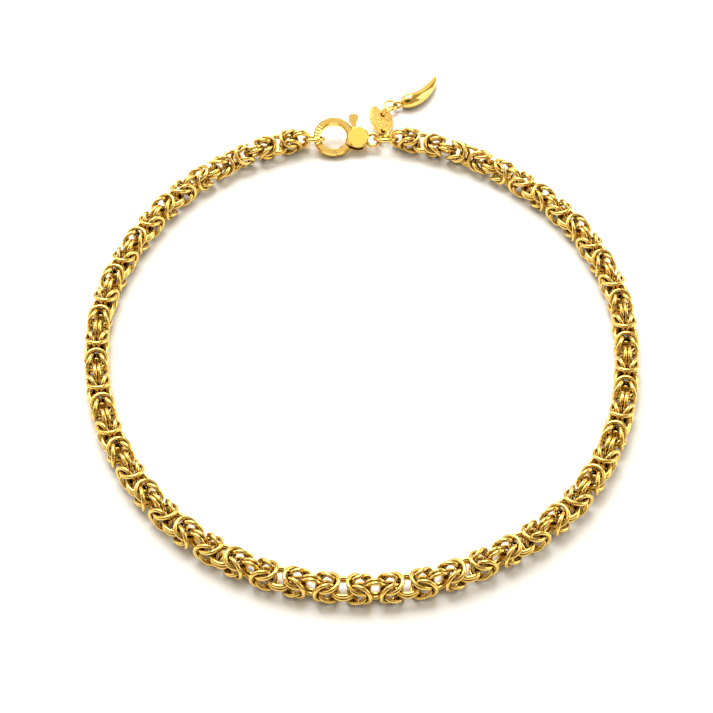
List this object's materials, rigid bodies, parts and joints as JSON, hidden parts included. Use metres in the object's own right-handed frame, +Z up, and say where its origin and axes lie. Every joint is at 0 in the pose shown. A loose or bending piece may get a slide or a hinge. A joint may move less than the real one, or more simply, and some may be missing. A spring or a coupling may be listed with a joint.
{
  "type": "byzantine chain necklace",
  "caption": "Polished gold byzantine chain necklace, closed in a loop by a round lever clasp, with a small heart tag and a curved horn charm on jump rings.",
  "frame": {"origin": "centre of the bounding box on the surface that the necklace lies on", "axes": "+Z up from that surface, +Y from the middle of the chain towards the clasp, +X to the wearer's view right as the loop is seen with the clasp at the far side"},
  "size_m": [0.1424, 0.1802, 0.0072],
  "materials": {
    "polished_gold": "polished yellow gold",
    "textured_gold": "finely stippled yellow gold"
  },
  "bodies": {
    "necklace": {"chain": "polished_gold", "end_links_right": "polished_gold", "end_links_left": "polished_gold", "jump_ring_right": "polished_gold", "jump_ring_left": "polished_gold", "clasp_body": "polished_gold", "clasp_pin": "polished_gold", "heart_tag": "textured_gold", "tag_link": "polished_gold", "tag_ring": "polished_gold", "charm_ring": "polished_gold", "horn_charm": "polished_gold"},
    "lever": {"clasp_lever": "polished_gold"}
  },
  "joints": [
    {"name": "clasp_lever_hinge", "type": "hinge", "parent": "necklace", "child": "lever", "pos_m": [-0.00092, 0.06164, 0.00342], "axis": [0, -0.4384, 0.8988], "range_deg": [-25, 0], "stiffness_Nm_per_rad": 0.004, "springref_deg": 2.86}
  ]
}
